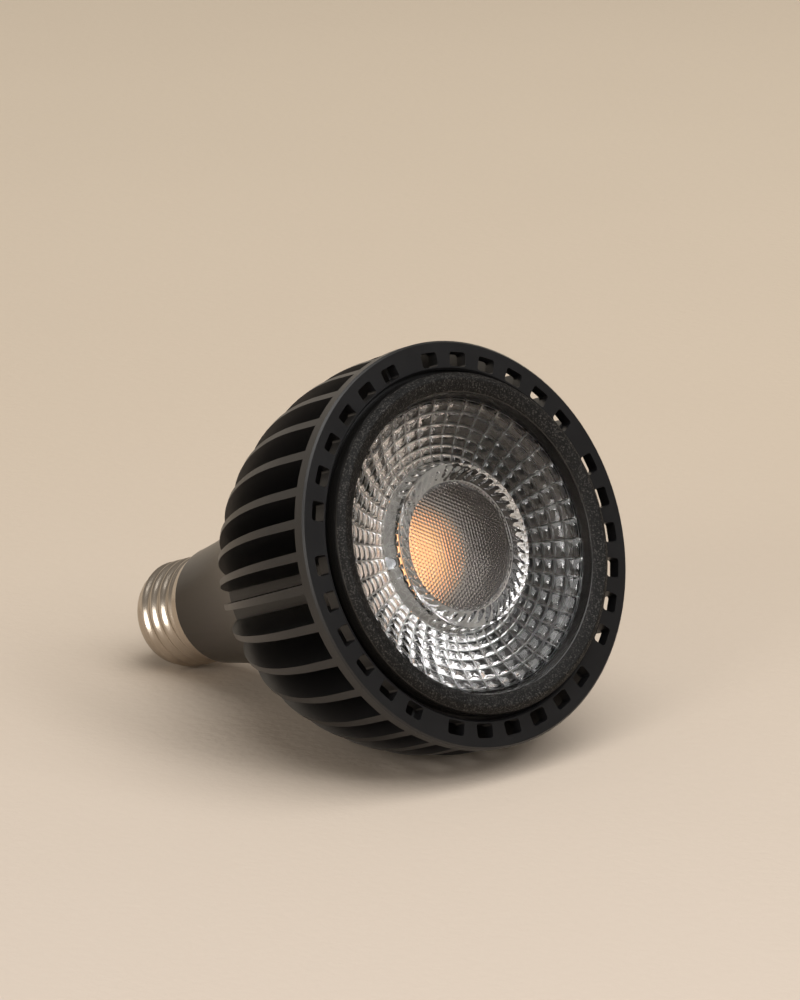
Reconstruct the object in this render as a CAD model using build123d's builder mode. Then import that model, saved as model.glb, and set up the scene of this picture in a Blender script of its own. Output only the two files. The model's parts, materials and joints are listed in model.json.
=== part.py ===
from build123d import *
import os
from math import asin, atan2, cos, degrees, hypot, radians, sin, sqrt

os.makedirs("parts", exist_ok=True)

# The bulb is drawn about its own axis. z = 0 is the front face of the flange, the light leaves
# along +z and the screw cap is at -z. At the end all pieces are laid down together.
# All lengths are in millimetres and all angles in degrees.

# Heat sink: flange, vents, fins, cup and hub of one casting
flange_radius = 47.5
flange_thickness = 3.1
flange_edge = 0.45
flange_border = 2.6
bezel_seat_depth = 2.0
vent_groups = 5
vents_per_group = 6
vent_pitch = 11.1
vent_length = 3.4
vent_width = 4.6
vent_corner = 0.7
vent_land = 0.75
fin_inset = 0.5
fin_straight = 11.2
fin_arc_radius = 65.5
fin_front_thickness = 2.2
fin_rear_thickness = 1.1
fin_pair_pitch = 9.2
fin_bite = 1.0
cup_floor_radius = 23.6
cup_wall = 2.6
cup_depth = 24.0
cup_floor = 4.0
blind_hole_web = 1.0
hub_front_radius = 24.6
hub_wall = 1.6
hub_bore_radius = 21.0

# Lens, its gasket and the bezel ring round it
bezel_foot_width = 4.35
lens_ledge = 1.8
lens_seat_depth = 3.4
gasket_thickness = 0.6
gasket_width = 1.3
lens_top = 0.3
lens_border = 2.1
lens_lip = 0.4
facet_columns = 45
facet_rows = 6
facet_taper = 0.93
barrel_foot_radius = 20.0
bowl_depth = 6.2
bowl_slope = 11.45
barrel_rim_radius = 19.2
barrel_rim_depth = 1.3
barrel_rim_width = 0.4
window_radius = 15.3
window_depth = 2.3
window_dome = 0.35
lens_foot_radius = 12.0
lens_foot_depth = 20.5
lens_back_bulge = 1.2
chip_cavity_radius = 10.5
chip_cavity_height = 6.5
bezel_groove = 0.9
bezel_shoulder = 2.2
bezel_bevel = 1.75
bezel_crest = 3.7
bezel_overlap = 1.6
bezel_lip_width = 1.2
bezel_lip = 2.7
bezel_round = 0.4

# Light source on the floor of the cup
pad_thickness = 0.3
led_board_side = 24.0
led_board_thickness = 1.2
led_board_corner = 1.0
phosphor_radius = 9.5
phosphor_thickness = 0.6
holder_radius = 21.5
holder_height = 3.1
holder_chamfer = 0.8
holder_counterbore = 1.0
holder_window_radius = 10.6
holder_screw_radius = 17.5

# Driver housing: the black neck with its spigot and the nose under the screw cap
neck_end = 95.2
neck_end_radius = 14.2
neck_end_round = 0.9
neck_waist_radius = 16.3
neck_waist_depth = 82.0
neck_wall = 2.0
nose_radius = 11.3
nose_wall = 1.8
nose_length = 16.8
nose_lip_radius = 7.0
nose_lip = 1.4
boss_circle_radius = 16.0
boss_radius = 3.0
boss_end = 40.0
rail_reach = 3.4
rail_bite = 0.4
rail_width = 1.5
rail_overrun = 3.0
disc_thickness = 1.2

# Edison screw cap, 26 mm with seven threads to the inch
cap_crest_radius = 13.1
cap_root_radius = 12.15
cap_pitch = 25.4 / 7
cap_crests = 4
cap_collar_radius = 13.25
cap_collar = 2.6
cap_sheet = 0.4
cap_foot_radius = 9.6
cap_foot_length = 2.0
insulator_radius = 8.8
insulator_brim_radius = 9.5
insulator_brim = 0.8
insulator_length = 4.6
insulator_tip_radius = 5.2
contact_radius = 4.6
contact_edge = 0.5
contact_height = 2.1

# Driver electronics
board_thickness = 1.6
board_start = 42.6
board_half_width = 16.2
board_shoulder_depth = 62.0
board_tail_half_width = 10.8
board_tail_start = 67.0
board_end = 88.0
core_width = 15.0
core_height = 13.0
core_leg = 3.0
core_start = 50.5
winding_inset = 0.5
winding_play = 0.1
winding_corner = 1.5
part_spacing = 0.5
can_spacing = 3.0
can_round = 0.15
input_can_radius = 5.0
input_can_length = 14.0
output_can_radius = 3.5
output_can_length = 11.5
choke_radius = 3.3
choke_height = 7.0
film_length = 13.0
film_width = 8.0
film_height = 9.0
film_round = 0.8
bridge_spacing = 12.0
bridge_length = 8.5
bridge_width = 6.5
bridge_height = 2.6
chip_length = 5.0
chip_width = 4.0
chip_height = 1.6
fuse_radius = 2.0
fuse_length = 8.0
fuse_round = 0.6
fuse_lead = 4.0
lead_radius = 0.4

# Wires
wire_radius = 0.7
wire_bend = 1.5
led_wire_x = 10.2
led_wire_y = 14.6
led_wire_reach = 1.0
led_wire_run = 1.5
neutral_inset = 2.5
neutral_start = 5.0
neutral_run = 2.0
neutral_drop = 7.0
neutral_shift = 1.5

# Screws of both sizes
screw_radius = 1.5
screw_head_radius = 2.7
screw_head_height = 1.8
screw_head_round = 0.7
holder_screw_length = 5.0
housing_screw_length = 12.0

# Clearances
slide_gap = 0.3
screw_gap = 0.05

# Radii that follow from the flange inwards
vent_radius = flange_radius - flange_border - vent_length / 2
opening_radius = vent_radius - vent_length / 2 - vent_land
fin_radius = flange_radius - fin_inset
bezel_radius = opening_radius - bezel_groove
lens_seat_radius = opening_radius - bezel_foot_width
cup_bore_radius = lens_seat_radius - lens_ledge
lens_rim_radius = lens_seat_radius - slide_gap
bezel_inner_radius = lens_rim_radius - bezel_overlap
facet_outer_radius = lens_rim_radius - lens_border
hub_rear_radius = hub_bore_radius + hub_wall

# Levels that several pieces share
floor_z = -cup_depth
floor_back_z = floor_z - cup_floor
seat_z = -bezel_seat_depth
lens_seat_z = -lens_seat_depth
lens_rim_z = lens_seat_z + gasket_thickness
holder_top_z = floor_z + holder_height
board_z = floor_z + pad_thickness
board_top_z = board_z + led_board_thickness
fin_arc_centre = fin_radius - fin_arc_radius
hub_rear_z = -fin_straight - sqrt(fin_arc_radius**2 - (hub_rear_radius - fin_arc_centre) ** 2)
spigot_radius = hub_bore_radius - slide_gap
spigot_bore_radius = spigot_radius - neck_wall
spigot_front_z = floor_back_z - slide_gap
disc_z = -boss_end - disc_thickness
cap_z = -neck_end
nose_end_z = cap_z - nose_length
nose_bore_radius = nose_radius - nose_wall
first_crest_z = cap_z - cap_collar - cap_pitch / 2
last_crest_z = first_crest_z - (cap_crests - 1) * cap_pitch
cap_foot_z = last_crest_z - cap_pitch / 2 - cap_foot_length
insulator_end_z = cap_foot_z - insulator_length
contact_end_z = insulator_end_z - contact_height
group_angle = 360 / vent_groups
ground_angle = -90
pieces = []


def keep(name, part, label):
    """Label a finished piece and keep it for laying down."""
    part.label = label
    pieces.append((name, part))


def dome_arc(radius, edge_z, top_z):
    """An arc from the rim of a shallow dome to its top, with its centre on the axis."""
    rise = top_z - edge_z
    sphere_radius = (radius**2 + rise**2) / (2 * rise)
    half_angle = asin(radius / abs(sphere_radius)) / 2
    middle_z = top_z - sphere_radius * (1 - cos(half_angle))
    middle = (abs(sphere_radius) * sin(half_angle), middle_z)
    ThreePointArc((radius, edge_z), middle, (0, top_z))


def radial_plane(angle, radius):
    """The plane that faces outwards at an angle and a radius, with its y along the bulb's axis."""
    a = radians(angle)
    outwards = Vector(cos(a), sin(a), 0)
    return Plane(origin=outwards * radius, x_dir=(-sin(a), cos(a), 0), z_dir=outwards)


# The third vent of the first group faces the ground, midway between the two fins that the bulb
# lies on.
first_vent_angle = ground_angle - 2 * vent_pitch
vent_starts = [first_vent_angle + group * group_angle for group in range(vent_groups)]
fin_angles = []
for start in vent_starts:
    fin_angles += [start + (k + 0.5) * vent_pitch for k in range(vents_per_group - 1)]
    middle = start - (group_angle - (vents_per_group - 1) * vent_pitch) / 2
    fin_angles += [middle - fin_pair_pitch / 2, middle + fin_pair_pitch / 2]
vent_back_z = -flange_thickness

# One fin: straight behind the flange, then one large arc in to the hub, and thinner to the rear
with BuildPart() as fin:
    arc_mid = (atan2(hub_rear_z + fin_straight, hub_rear_radius - fin_arc_centre)) / 2
    fin_root = hub_bore_radius + slide_gap
    fin_front_z = vent_back_z + fin_bite
    with BuildSketch(Plane.XZ):
        with BuildLine():
            Line((fin_root, fin_front_z), (fin_radius, fin_front_z))
            Line((fin_radius, fin_front_z), (fin_radius, -fin_straight))
            ThreePointArc(
                (fin_radius, -fin_straight),
                (
                    fin_arc_centre + fin_arc_radius * cos(arc_mid),
                    -fin_straight + fin_arc_radius * sin(arc_mid),
                ),
                (hub_rear_radius, hub_rear_z),
            )
            Line((hub_rear_radius, hub_rear_z), (fin_root, hub_rear_z))
            Line((fin_root, hub_rear_z), (fin_root, fin_front_z))
        make_face()
    extrude(amount=fin_front_thickness, both=True)
    with BuildSketch(radial_plane(0, 0)):
        Polygon(
            (-fin_front_thickness / 2, fin_front_z),
            (fin_front_thickness / 2, fin_front_z),
            (fin_rear_thickness / 2, hub_rear_z),
            (-fin_rear_thickness / 2, hub_rear_z),
            align=None,
        )
    extrude(amount=flange_radius, mode=Mode.INTERSECT)

# Heat sink
with BuildPart() as heat_sink:
    with Locations([Location((0, 0, 0), (0, 0, angle)) for angle in fin_angles]):
        add(fin.part)
    # Flange, cup and hub, solid at first
    with BuildSketch(Plane.XZ):
        Polygon(
            (0, 0),
            (flange_radius - flange_edge, 0),
            (flange_radius, -flange_edge),
            (flange_radius, vent_back_z),
            (opening_radius, vent_back_z),
            (cup_bore_radius + cup_wall, lens_seat_z - cup_wall),
            (cup_floor_radius + cup_wall, floor_back_z),
            (hub_front_radius, floor_back_z - cup_wall),
            (hub_rear_radius, hub_rear_z),
            (0, hub_rear_z),
            align=None,
        )
    revolve(axis=Axis.Z)
    # The room in front of the floor, with the seats of the bezel and the lens
    with BuildSketch(Plane.XZ):
        Polygon(
            (0, 0),
            (opening_radius + flange_edge, 0),
            (opening_radius, -flange_edge),
            (opening_radius, seat_z),
            (lens_seat_radius, seat_z),
            (lens_seat_radius, lens_seat_z),
            (cup_bore_radius, lens_seat_z),
            (cup_floor_radius, floor_z),
            (0, floor_z),
            align=None,
        )
    revolve(axis=Axis.Z, mode=Mode.SUBTRACT)
    with BuildSketch(Plane.XY.offset(floor_back_z)):
        Circle(hub_bore_radius)
    extrude(amount=hub_rear_z - floor_back_z, mode=Mode.SUBTRACT)
    with BuildSketch(Plane.XY):
        for start in vent_starts:
            sweep_angle = (vents_per_group - 1) * vent_pitch
            with PolarLocations(vent_radius, vents_per_group, start, sweep_angle, endpoint=True):
                RectangleRounded(vent_length, vent_width, vent_corner)
    extrude(amount=-flange_thickness, mode=Mode.SUBTRACT)
    with Locations((0, 0, floor_z)):
        with PolarLocations(boss_circle_radius, 3, 90):
            CounterSinkHole(
                screw_radius + screw_gap, screw_head_radius + slide_gap, counter_sink_angle=90
            )
        with PolarLocations(holder_screw_radius, 2):
            Hole(screw_radius + screw_gap, depth=cup_floor - blind_hole_web)
        with Locations((led_wire_x, led_wire_y), (-led_wire_x, led_wire_y)):
            Hole(wire_radius + slide_gap)
keep("heat_sink", heat_sink.part, "heat_sink")

# Bezel ring, raised above the flange
with BuildPart() as bezel:
    with BuildSketch(Plane.XZ) as bezel_section:
        Polygon(
            (bezel_radius, seat_z),
            (bezel_radius, bezel_shoulder),
            (bezel_radius - bezel_bevel, bezel_crest),
            (bezel_inner_radius + bezel_lip_width, bezel_lip),
            (bezel_inner_radius, -lens_top),
            (lens_seat_radius + slide_gap, -lens_top),
            (lens_seat_radius + slide_gap, seat_z),
            align=None,
        )
        top_corners = bezel_section.vertices().filter_by_position(Axis.Z, bezel_shoulder, bezel_crest + 1)
        fillet(top_corners, bezel_round)
    revolve(axis=Axis.Z)
keep("bezel", bezel.part, "bezel")

# Gasket under the rim of the lens
with BuildPart() as lens_gasket:
    with BuildSketch(Plane.XY.offset(lens_seat_z)):
        Circle(lens_rim_radius)
        Circle(lens_rim_radius - gasket_width, mode=Mode.SUBTRACT)
    extrude(amount=gasket_thickness)
keep("lens_gasket", lens_gasket.part, "lens_gasket")

# Lens: a clear bowl of flat facets round a raised barrel, with a cavity over the light source.
# The rows of facets get narrower towards the barrel, and the bowl flattens out there.
row_widths = [facet_taper**row for row in range(facet_rows)]
facet_levels = []
for row in range(facet_rows + 1):
    share = sum(row_widths[:row]) / sum(row_widths)
    radius = facet_outer_radius - share * (facet_outer_radius - barrel_foot_radius)
    depth = lens_top + bowl_slope * share - (bowl_slope - bowl_depth + lens_top) * share**2
    facet_levels.append((radius, depth))
with BuildPart() as lens:
    back_rim = (facet_outer_radius - lens_lip, lens_rim_z)
    foot = (lens_foot_radius, -lens_foot_depth)
    with BuildSketch(Plane.XZ):
        with BuildLine():
            Line((0, -lens_top), (lens_rim_radius, -lens_top))
            Line((lens_rim_radius, -lens_top), (lens_rim_radius, lens_rim_z))
            Line((lens_rim_radius, lens_rim_z), back_rim)
            ThreePointArc(
                back_rim,
                (
                    (back_rim[0] + foot[0]) / 2 + lens_back_bulge * sin(radians(45)),
                    (back_rim[1] + foot[1]) / 2 - lens_back_bulge * cos(radians(45)),
                ),
                foot,
            )
            Line(foot, (0, -lens_foot_depth))
            Line((0, -lens_foot_depth), (0, -lens_top))
        make_face()
    revolve(axis=Axis.Z)
    for (outer, upper), (inner, lower) in zip(facet_levels, facet_levels[1:]):
        with BuildSketch(Plane.XY.offset(-upper)):
            RegularPolygon(outer, facet_columns)
        with BuildSketch(Plane.XY.offset(-lower)):
            RegularPolygon(inner, facet_columns)
        loft(mode=Mode.SUBTRACT)
    with BuildSketch(Plane.XZ):
        with BuildLine():
            barrel_foot = (barrel_foot_radius - slide_gap, -bowl_depth)
            Line((0, -bowl_depth), barrel_foot)
            Line(barrel_foot, (barrel_rim_radius, -barrel_rim_depth))
            Line(
                (barrel_rim_radius, -barrel_rim_depth),
                (barrel_rim_radius - barrel_rim_width, -barrel_rim_depth),
            )
            Line((barrel_rim_radius - barrel_rim_width, -barrel_rim_depth), (window_radius, -window_depth))
            dome_arc(window_radius, -window_depth, -window_depth + window_dome)
            Line((0, -window_depth + window_dome), (0, -bowl_depth))
        make_face()
    revolve(axis=Axis.Z)
    with BuildSketch(Plane.XY.offset(-lens_foot_depth)):
        Circle(chip_cavity_radius)
    extrude(amount=chip_cavity_height, taper=8, mode=Mode.SUBTRACT)
keep("lens", lens.part, "lens")

# Light source
with BuildPart() as thermal_pad:
    with BuildSketch(Plane.XY.offset(floor_z)):
        Rectangle(led_board_side, led_board_side)
    extrude(amount=pad_thickness)
keep("thermal_pad", thermal_pad.part, "thermal_pad")

with BuildPart() as led_board:
    with BuildSketch(Plane.XY.offset(board_z)):
        RectangleRounded(led_board_side, led_board_side, led_board_corner)
    extrude(amount=led_board_thickness)
keep("led_board", led_board.part, "led_board")

with BuildPart() as led_phosphor:
    with BuildSketch(Plane.XY.offset(board_top_z)):
        Circle(phosphor_radius)
    extrude(amount=phosphor_thickness)
keep("led_phosphor", led_phosphor.part, "led_phosphor")

pocket_side = led_board_side + slide_gap
with BuildPart() as led_holder:
    with BuildSketch(Plane.XY.offset(floor_z)):
        Circle(holder_radius)
    extrude(amount=holder_height)
    chamfer(led_holder.faces().sort_by(Axis.Z)[-1].edges(), holder_chamfer)
    with BuildSketch(Plane.XY.offset(floor_z)):
        Rectangle(pocket_side, pocket_side)
    extrude(amount=board_top_z - floor_z + screw_gap, mode=Mode.SUBTRACT)
    with BuildSketch(Plane.XY.offset(floor_z)):
        Circle(holder_window_radius)
    extrude(amount=holder_height, mode=Mode.SUBTRACT)
    with Locations((0, 0, holder_top_z)):
        with PolarLocations(holder_screw_radius, 2):
            CounterBoreHole(
                screw_radius + screw_gap, screw_head_radius + slide_gap, holder_counterbore
            )
    with BuildSketch(Plane.XY.offset(floor_z)):
        with Locations((led_wire_x, led_wire_y), (-led_wire_x, led_wire_y)):
            Circle(wire_radius + screw_gap)
    extrude(amount=holder_height / 2, mode=Mode.SUBTRACT)
keep("led_holder", led_holder.part, "led_holder")

with BuildPart() as holder_screws:
    with PolarLocations(holder_screw_radius, 2):
        with Locations((0, 0, holder_top_z - holder_counterbore)):
            Cylinder(screw_radius, holder_screw_length, align=(Align.CENTER, Align.CENTER, Align.MAX))
            Cylinder(
                screw_head_radius, screw_head_height, align=(Align.CENTER, Align.CENTER, Align.MIN)
            )
    fillet(holder_screws.edges().group_by(Axis.Z)[-1], screw_head_round)
keep("holder_screws", holder_screws.part, "holder_screws")

cone_height = screw_head_radius - screw_radius
with BuildPart() as housing_screws:
    with PolarLocations(boss_circle_radius, 3, 90):
        with Locations((0, 0, floor_z - slide_gap / 2)):
            Cylinder(screw_radius, housing_screw_length, align=(Align.CENTER, Align.CENTER, Align.MAX))
            Cone(
                screw_radius, screw_head_radius, cone_height, align=(Align.CENTER, Align.CENTER, Align.MAX)
            )
keep("housing_screws", housing_screws.part, "housing_screws")

# Driver housing: spigot, flared neck and nose of one moulding
with BuildPart() as driver_housing:
    shoulder_radius = hub_rear_radius - slide_gap
    with BuildSketch(Plane.XZ) as neck_section:
        with BuildLine():
            Polyline(
                (0, spigot_front_z),
                (spigot_radius, spigot_front_z),
                (spigot_radius, hub_rear_z),
                (shoulder_radius, hub_rear_z),
            )
            ThreePointArc(
                (shoulder_radius, hub_rear_z),
                (neck_waist_radius, -neck_waist_depth),
                (neck_end_radius, cap_z + neck_end_round),
            )
            neck_corner = (neck_end_radius - neck_end_round, cap_z)
            RadiusArc((neck_end_radius, cap_z + neck_end_round), neck_corner, neck_end_round)
            Polyline(
                neck_corner,
                (nose_radius, cap_z),
                (nose_radius, nose_end_z),
                (0, nose_end_z),
                (0, spigot_front_z),
            )
        make_face()
    revolve(axis=Axis.Z)
    inner_end_z = cap_z + neck_wall
    with BuildSketch(Plane.XZ):
        with BuildLine():
            Polyline(
                (0, spigot_front_z),
                (spigot_bore_radius, spigot_front_z),
                (spigot_bore_radius, hub_rear_z),
            )
            ThreePointArc(
                (spigot_bore_radius, hub_rear_z),
                (neck_waist_radius - neck_wall, -neck_waist_depth),
                (neck_end_radius - neck_wall, inner_end_z),
            )
            Polyline(
                (neck_end_radius - neck_wall, inner_end_z),
                (nose_bore_radius, inner_end_z),
                (nose_bore_radius, nose_end_z + nose_lip),
                (nose_lip_radius, nose_end_z + nose_lip),
                (nose_lip_radius, nose_end_z),
                (0, nose_end_z),
                (0, spigot_front_z),
            )
        make_face()
    revolve(axis=Axis.Z, mode=Mode.SUBTRACT)
    # Bosses for the screws through the floor of the cup
    with BuildSketch(Plane.XY.offset(spigot_front_z)):
        with PolarLocations(boss_circle_radius, 3, 90):
            Circle(boss_radius)
    extrude(amount=-boss_end - spigot_front_z)
    with BuildSketch(Plane.XY.offset(spigot_front_z)):
        with PolarLocations(boss_circle_radius, 3, 90):
            Circle(screw_radius + screw_gap)
    extrude(amount=-boss_end - spigot_front_z, mode=Mode.SUBTRACT)
    # Pairs of rails that hold the edges of the driver board
    rail_offset = board_thickness / 2 + screw_gap + rail_width / 2
    rail_centre = spigot_bore_radius - rail_reach / 2 + rail_bite
    with BuildSketch(Plane.XY.offset(-board_start)):
        with GridLocations(2 * rail_centre, 2 * rail_offset, 2, 2):
            Rectangle(rail_reach, rail_width)
    extrude(amount=board_start - board_shoulder_depth + rail_overrun)
    # Hole in the nose for the wire to the screw shell
    neutral_z = first_crest_z - cap_pitch
    with BuildSketch(radial_plane(180, 0)):
        with Locations((0, neutral_z)):
            Circle(wire_radius + slide_gap)
    extrude(amount=nose_radius + 1, mode=Mode.SUBTRACT)
keep("driver_housing", driver_housing.part, "driver_housing")

with BuildPart() as insulating_disc:
    with BuildSketch(Plane.XY.offset(disc_z)):
        Circle(spigot_bore_radius - slide_gap)
        with Locations((led_wire_x, led_wire_y), (-led_wire_x, led_wire_y)):
            Circle(wire_radius + slide_gap, mode=Mode.SUBTRACT)
    extrude(amount=disc_thickness)
keep("insulating_disc", insulating_disc.part, "insulating_disc")

# Screw cap: the rolled shell follows one wave of arcs, a sheet thick
crest_levels = [first_crest_z - k * cap_pitch for k in range(cap_crests)]


def shell_outline(inset):
    """The shell's outline from its mouth to its foot, inset by a wall."""
    crest = cap_crest_radius - inset
    root = cap_root_radius - inset
    collar = cap_collar_radius - inset
    mean = (crest + root) / 2
    quarter = cap_pitch / 4
    Polyline((collar, cap_z), (collar, cap_z - cap_collar), (mean, first_crest_z + quarter))
    for level in crest_levels:
        ThreePointArc((mean, level + quarter), (crest, level), (mean, level - quarter))
        if level != crest_levels[-1]:
            ThreePointArc(
                (mean, level - quarter), (root, level - 2 * quarter), (mean, level - 3 * quarter)
            )
    foot = (cap_foot_radius - inset, cap_foot_z)
    Polyline((mean, last_crest_z - quarter), (root, last_crest_z - 2 * quarter), foot)
    return (collar, cap_z), foot


with BuildPart() as screw_shell:
    with BuildSketch(Plane.XZ):
        with BuildLine():
            outer_mouth, outer_foot = shell_outline(0)
            inner_mouth, inner_foot = shell_outline(cap_sheet)
            Line(outer_mouth, inner_mouth)
            Line(outer_foot, inner_foot)
        make_face()
    revolve(axis=Axis.Z)
keep("screw_shell", screw_shell.part, "screw_shell")

with BuildPart() as cap_insulator:
    with BuildSketch(Plane.XZ):
        Polygon(
            (wire_radius + slide_gap, nose_end_z),
            (insulator_radius, nose_end_z),
            (insulator_radius, cap_foot_z),
            (insulator_brim_radius, cap_foot_z),
            (insulator_brim_radius, cap_foot_z - insulator_brim),
            (insulator_tip_radius, insulator_end_z),
            (wire_radius + slide_gap, insulator_end_z),
            align=None,
        )
    revolve(axis=Axis.Z)
keep("cap_insulator", cap_insulator.part, "cap_insulator")

with BuildPart() as centre_contact:
    with BuildSketch(Plane.XZ):
        with BuildLine():
            Line((0, insulator_end_z), (contact_radius, insulator_end_z))
            Line((contact_radius, insulator_end_z), (contact_radius, insulator_end_z - contact_edge))
            dome_arc(contact_radius, insulator_end_z - contact_edge, contact_end_z)
            Line((0, contact_end_z), (0, insulator_end_z))
        make_face()
    revolve(axis=Axis.Z)
keep("centre_contact", centre_contact.part, "centre_contact")

# Driver board, on edge in its rails, and the parts on both sides of it
board_face = board_thickness / 2
upper_face = Plane(origin=(0, board_face, 0), x_dir=(1, 0, 0), z_dir=(0, 1, 0))
lower_face = Plane(origin=(0, -board_face, 0), x_dir=(1, 0, 0), z_dir=(0, -1, 0))

with BuildPart() as driver_board:
    with BuildSketch(Plane.XZ):
        Polygon(
            (-board_half_width, -board_start),
            (board_half_width, -board_start),
            (board_half_width, -board_shoulder_depth),
            (board_tail_half_width, -board_tail_start),
            (board_tail_half_width, -board_end),
            (-board_tail_half_width, -board_end),
            (-board_tail_half_width, -board_tail_start),
            (-board_half_width, -board_shoulder_depth),
            align=None,
        )
    extrude(amount=board_thickness / 2, both=True)
keep("driver_board", driver_board.part, "driver_board")

core_middle = core_start + core_height / 2
with BuildPart() as transformer_core:
    with BuildSketch(upper_face):
        with Locations((0, core_middle)):
            Rectangle(core_width, core_height)
    extrude(amount=core_height)
    with BuildSketch(Plane.XY.offset(-core_start)):
        with Locations((0, board_face + core_height / 2)):
            Rectangle(core_width - 2 * core_leg, core_height - 2 * core_leg)
    extrude(amount=-core_height, mode=Mode.SUBTRACT)
keep("transformer_core", transformer_core.part, "transformer_core")

winding_width = core_width - 2 * core_leg - 2 * winding_play
winding_height = core_height - 2 * core_leg - 2 * winding_play
with BuildPart() as transformer_winding:
    with BuildSketch(Plane.XY.offset(-core_start - core_height + winding_inset)):
        with Locations((0, board_face + core_height / 2)):
            RectangleRounded(winding_width, winding_height, winding_corner)
    extrude(amount=core_height - 2 * winding_inset)
keep("transformer_winding", transformer_winding.part, "transformer_winding")


def can(radius, length, x, start):
    """An electrolytic capacitor on its side on the board, rounded at both ends."""
    axis_plane = Plane(origin=(x, board_face + radius, -start), x_dir=(1, 0, 0), z_dir=(0, 0, -1))
    with BuildPart() as capacitor:
        with BuildSketch(axis_plane):
            Circle(radius)
        extrude(amount=length)
        fillet(capacitor.edges().sort_by(Axis.Z)[-1], radius * can_round)
        fillet(capacitor.edges().sort_by(Axis.Z)[0], radius * can_round)
    return capacitor.part


input_start = core_start + core_height + can_spacing
output_start = core_middle - output_can_length / 2
output_x = -(core_width / 2 + output_can_radius + part_spacing)
keep("input_capacitor", can(input_can_radius, input_can_length, 0, input_start), "input_capacitor")
output_part = can(output_can_radius, output_can_length, output_x, output_start)
keep("output_capacitor", output_part, "output_capacitor")

with BuildPart() as choke:
    with BuildSketch(upper_face):
        with Locations((core_width / 2 + choke_radius + part_spacing, core_middle)):
            Circle(choke_radius)
    extrude(amount=choke_height)
keep("choke", choke.part, "choke")

with BuildPart() as film_capacitor:
    with BuildSketch(lower_face):
        with Locations((0, -input_start)):
            Rectangle(film_length, film_width)
    extrude(amount=film_height)
    fillet(film_capacitor.edges().filter_by(Axis.Y), film_round)
keep("film_capacitor", film_capacitor.part, "film_capacitor")

with BuildPart() as bridge_rectifier:
    with BuildSketch(lower_face):
        with Locations((0, -input_start - bridge_spacing)):
            Rectangle(bridge_length, bridge_width)
    extrude(amount=bridge_height)
keep("bridge_rectifier", bridge_rectifier.part, "bridge_rectifier")

with BuildPart() as driver_chip:
    with BuildSketch(lower_face):
        with Locations((0, -core_middle)):
            Rectangle(chip_length, chip_width)
    extrude(amount=chip_height)
keep("driver_chip", driver_chip.part, "driver_chip")

# Fusible resistor on the axis, from the tail of the board into the nose
fuse_start = board_end + fuse_lead
with BuildPart() as fuse_resistor:
    with BuildSketch(Plane.XY.offset(-board_end)):
        Circle(lead_radius)
    extrude(amount=-fuse_lead - fuse_length / 2)
    with BuildSketch(Plane.XY.offset(-fuse_start)):
        Circle(fuse_radius)
    extrude(amount=-fuse_length)
    fillet(fuse_resistor.edges().filter_by(GeomType.CIRCLE).sort_by(SortBy.RADIUS)[-2:], fuse_round)
keep("fuse_resistor", fuse_resistor.part, "fuse_resistor")

# Wires
with BuildPart() as live_wire:
    with BuildSketch(Plane.XY.offset(-fuse_start - fuse_length)):
        Circle(wire_radius)
    extrude(amount=insulator_end_z + fuse_start + fuse_length)
keep("live_wire", live_wire.part, "live_wire")


def wire(points):
    """A round wire along straight runs with rounded corners."""
    with BuildPart() as strand:
        with BuildLine() as route:
            FilletPolyline(*points, radius=wire_bend)
        with BuildSketch(Plane(origin=route.wires()[0] @ 0, z_dir=route.wires()[0] % 0)):
            Circle(wire_radius)
        sweep()
    return strand.part


neutral_x = board_tail_half_width - neutral_inset
neutral_y = board_face + wire_radius + screw_gap
shell_contact = cap_crest_radius - cap_sheet - wire_radius / 2
neutral_bend_z = -board_end - neutral_run
neutral_route = [
    (-neutral_x, neutral_y, -board_end + neutral_start),
    (-neutral_x, neutral_y, neutral_bend_z),
    (-neutral_x + neutral_shift, 0, neutral_bend_z - neutral_drop),
    (-neutral_x + neutral_shift, 0, neutral_z),
    (-shell_contact, 0, neutral_z),
]
keep("neutral_wire", wire(neutral_route), "neutral_wire")

led_wire_bend_z = -board_start - led_wire_run
led_strands = []
for side in (-1, 1):
    led_route = [
        (side * led_wire_x, led_wire_y, floor_z + led_wire_reach),
        (side * led_wire_x, led_wire_y, led_wire_bend_z),
        (side * led_wire_x, board_face + slide_gap, led_wire_bend_z - led_wire_run),
    ]
    led_strands.append(wire(led_route))
with BuildPart() as led_wires:
    add(led_strands)
keep("led_wires", led_wires.part, "led_wires")

# Lying down: the bulb rests on its last cap thread and on two fins, so the line that touches
# both in the bulb's own section becomes level. The light then leaves towards -Y and upwards.
reach_z = -fin_straight - last_crest_z
reach_r = fin_arc_centre - cap_crest_radius
rest_tilt = degrees(atan2(reach_r, reach_z) + asin(fin_arc_radius / hypot(reach_z, reach_r)))
lean = radians(rest_tilt)
lying = Plane(origin=(0, 0, 0), x_dir=(1, 0, 0), z_dir=(0, -cos(lean), sin(lean))).location
laid = [(name, part.moved(lying)) for name, part in pieces]
box = Compound([part for name, part in laid]).bounding_box()
to_ground = Location((-box.center().X, -box.center().Y, -box.min.Z))
print("tilt", round(rest_tilt, 3), "size", box.size)
for name, part in laid:
    piece = part.moved(to_ground)
    piece.label = name
    export_step(piece, f"parts/{name}.step")
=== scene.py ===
import json
from math import cos, pi, radians, sin, sqrt
import bpy
import bmesh
from mathutils import Matrix, Vector


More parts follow.
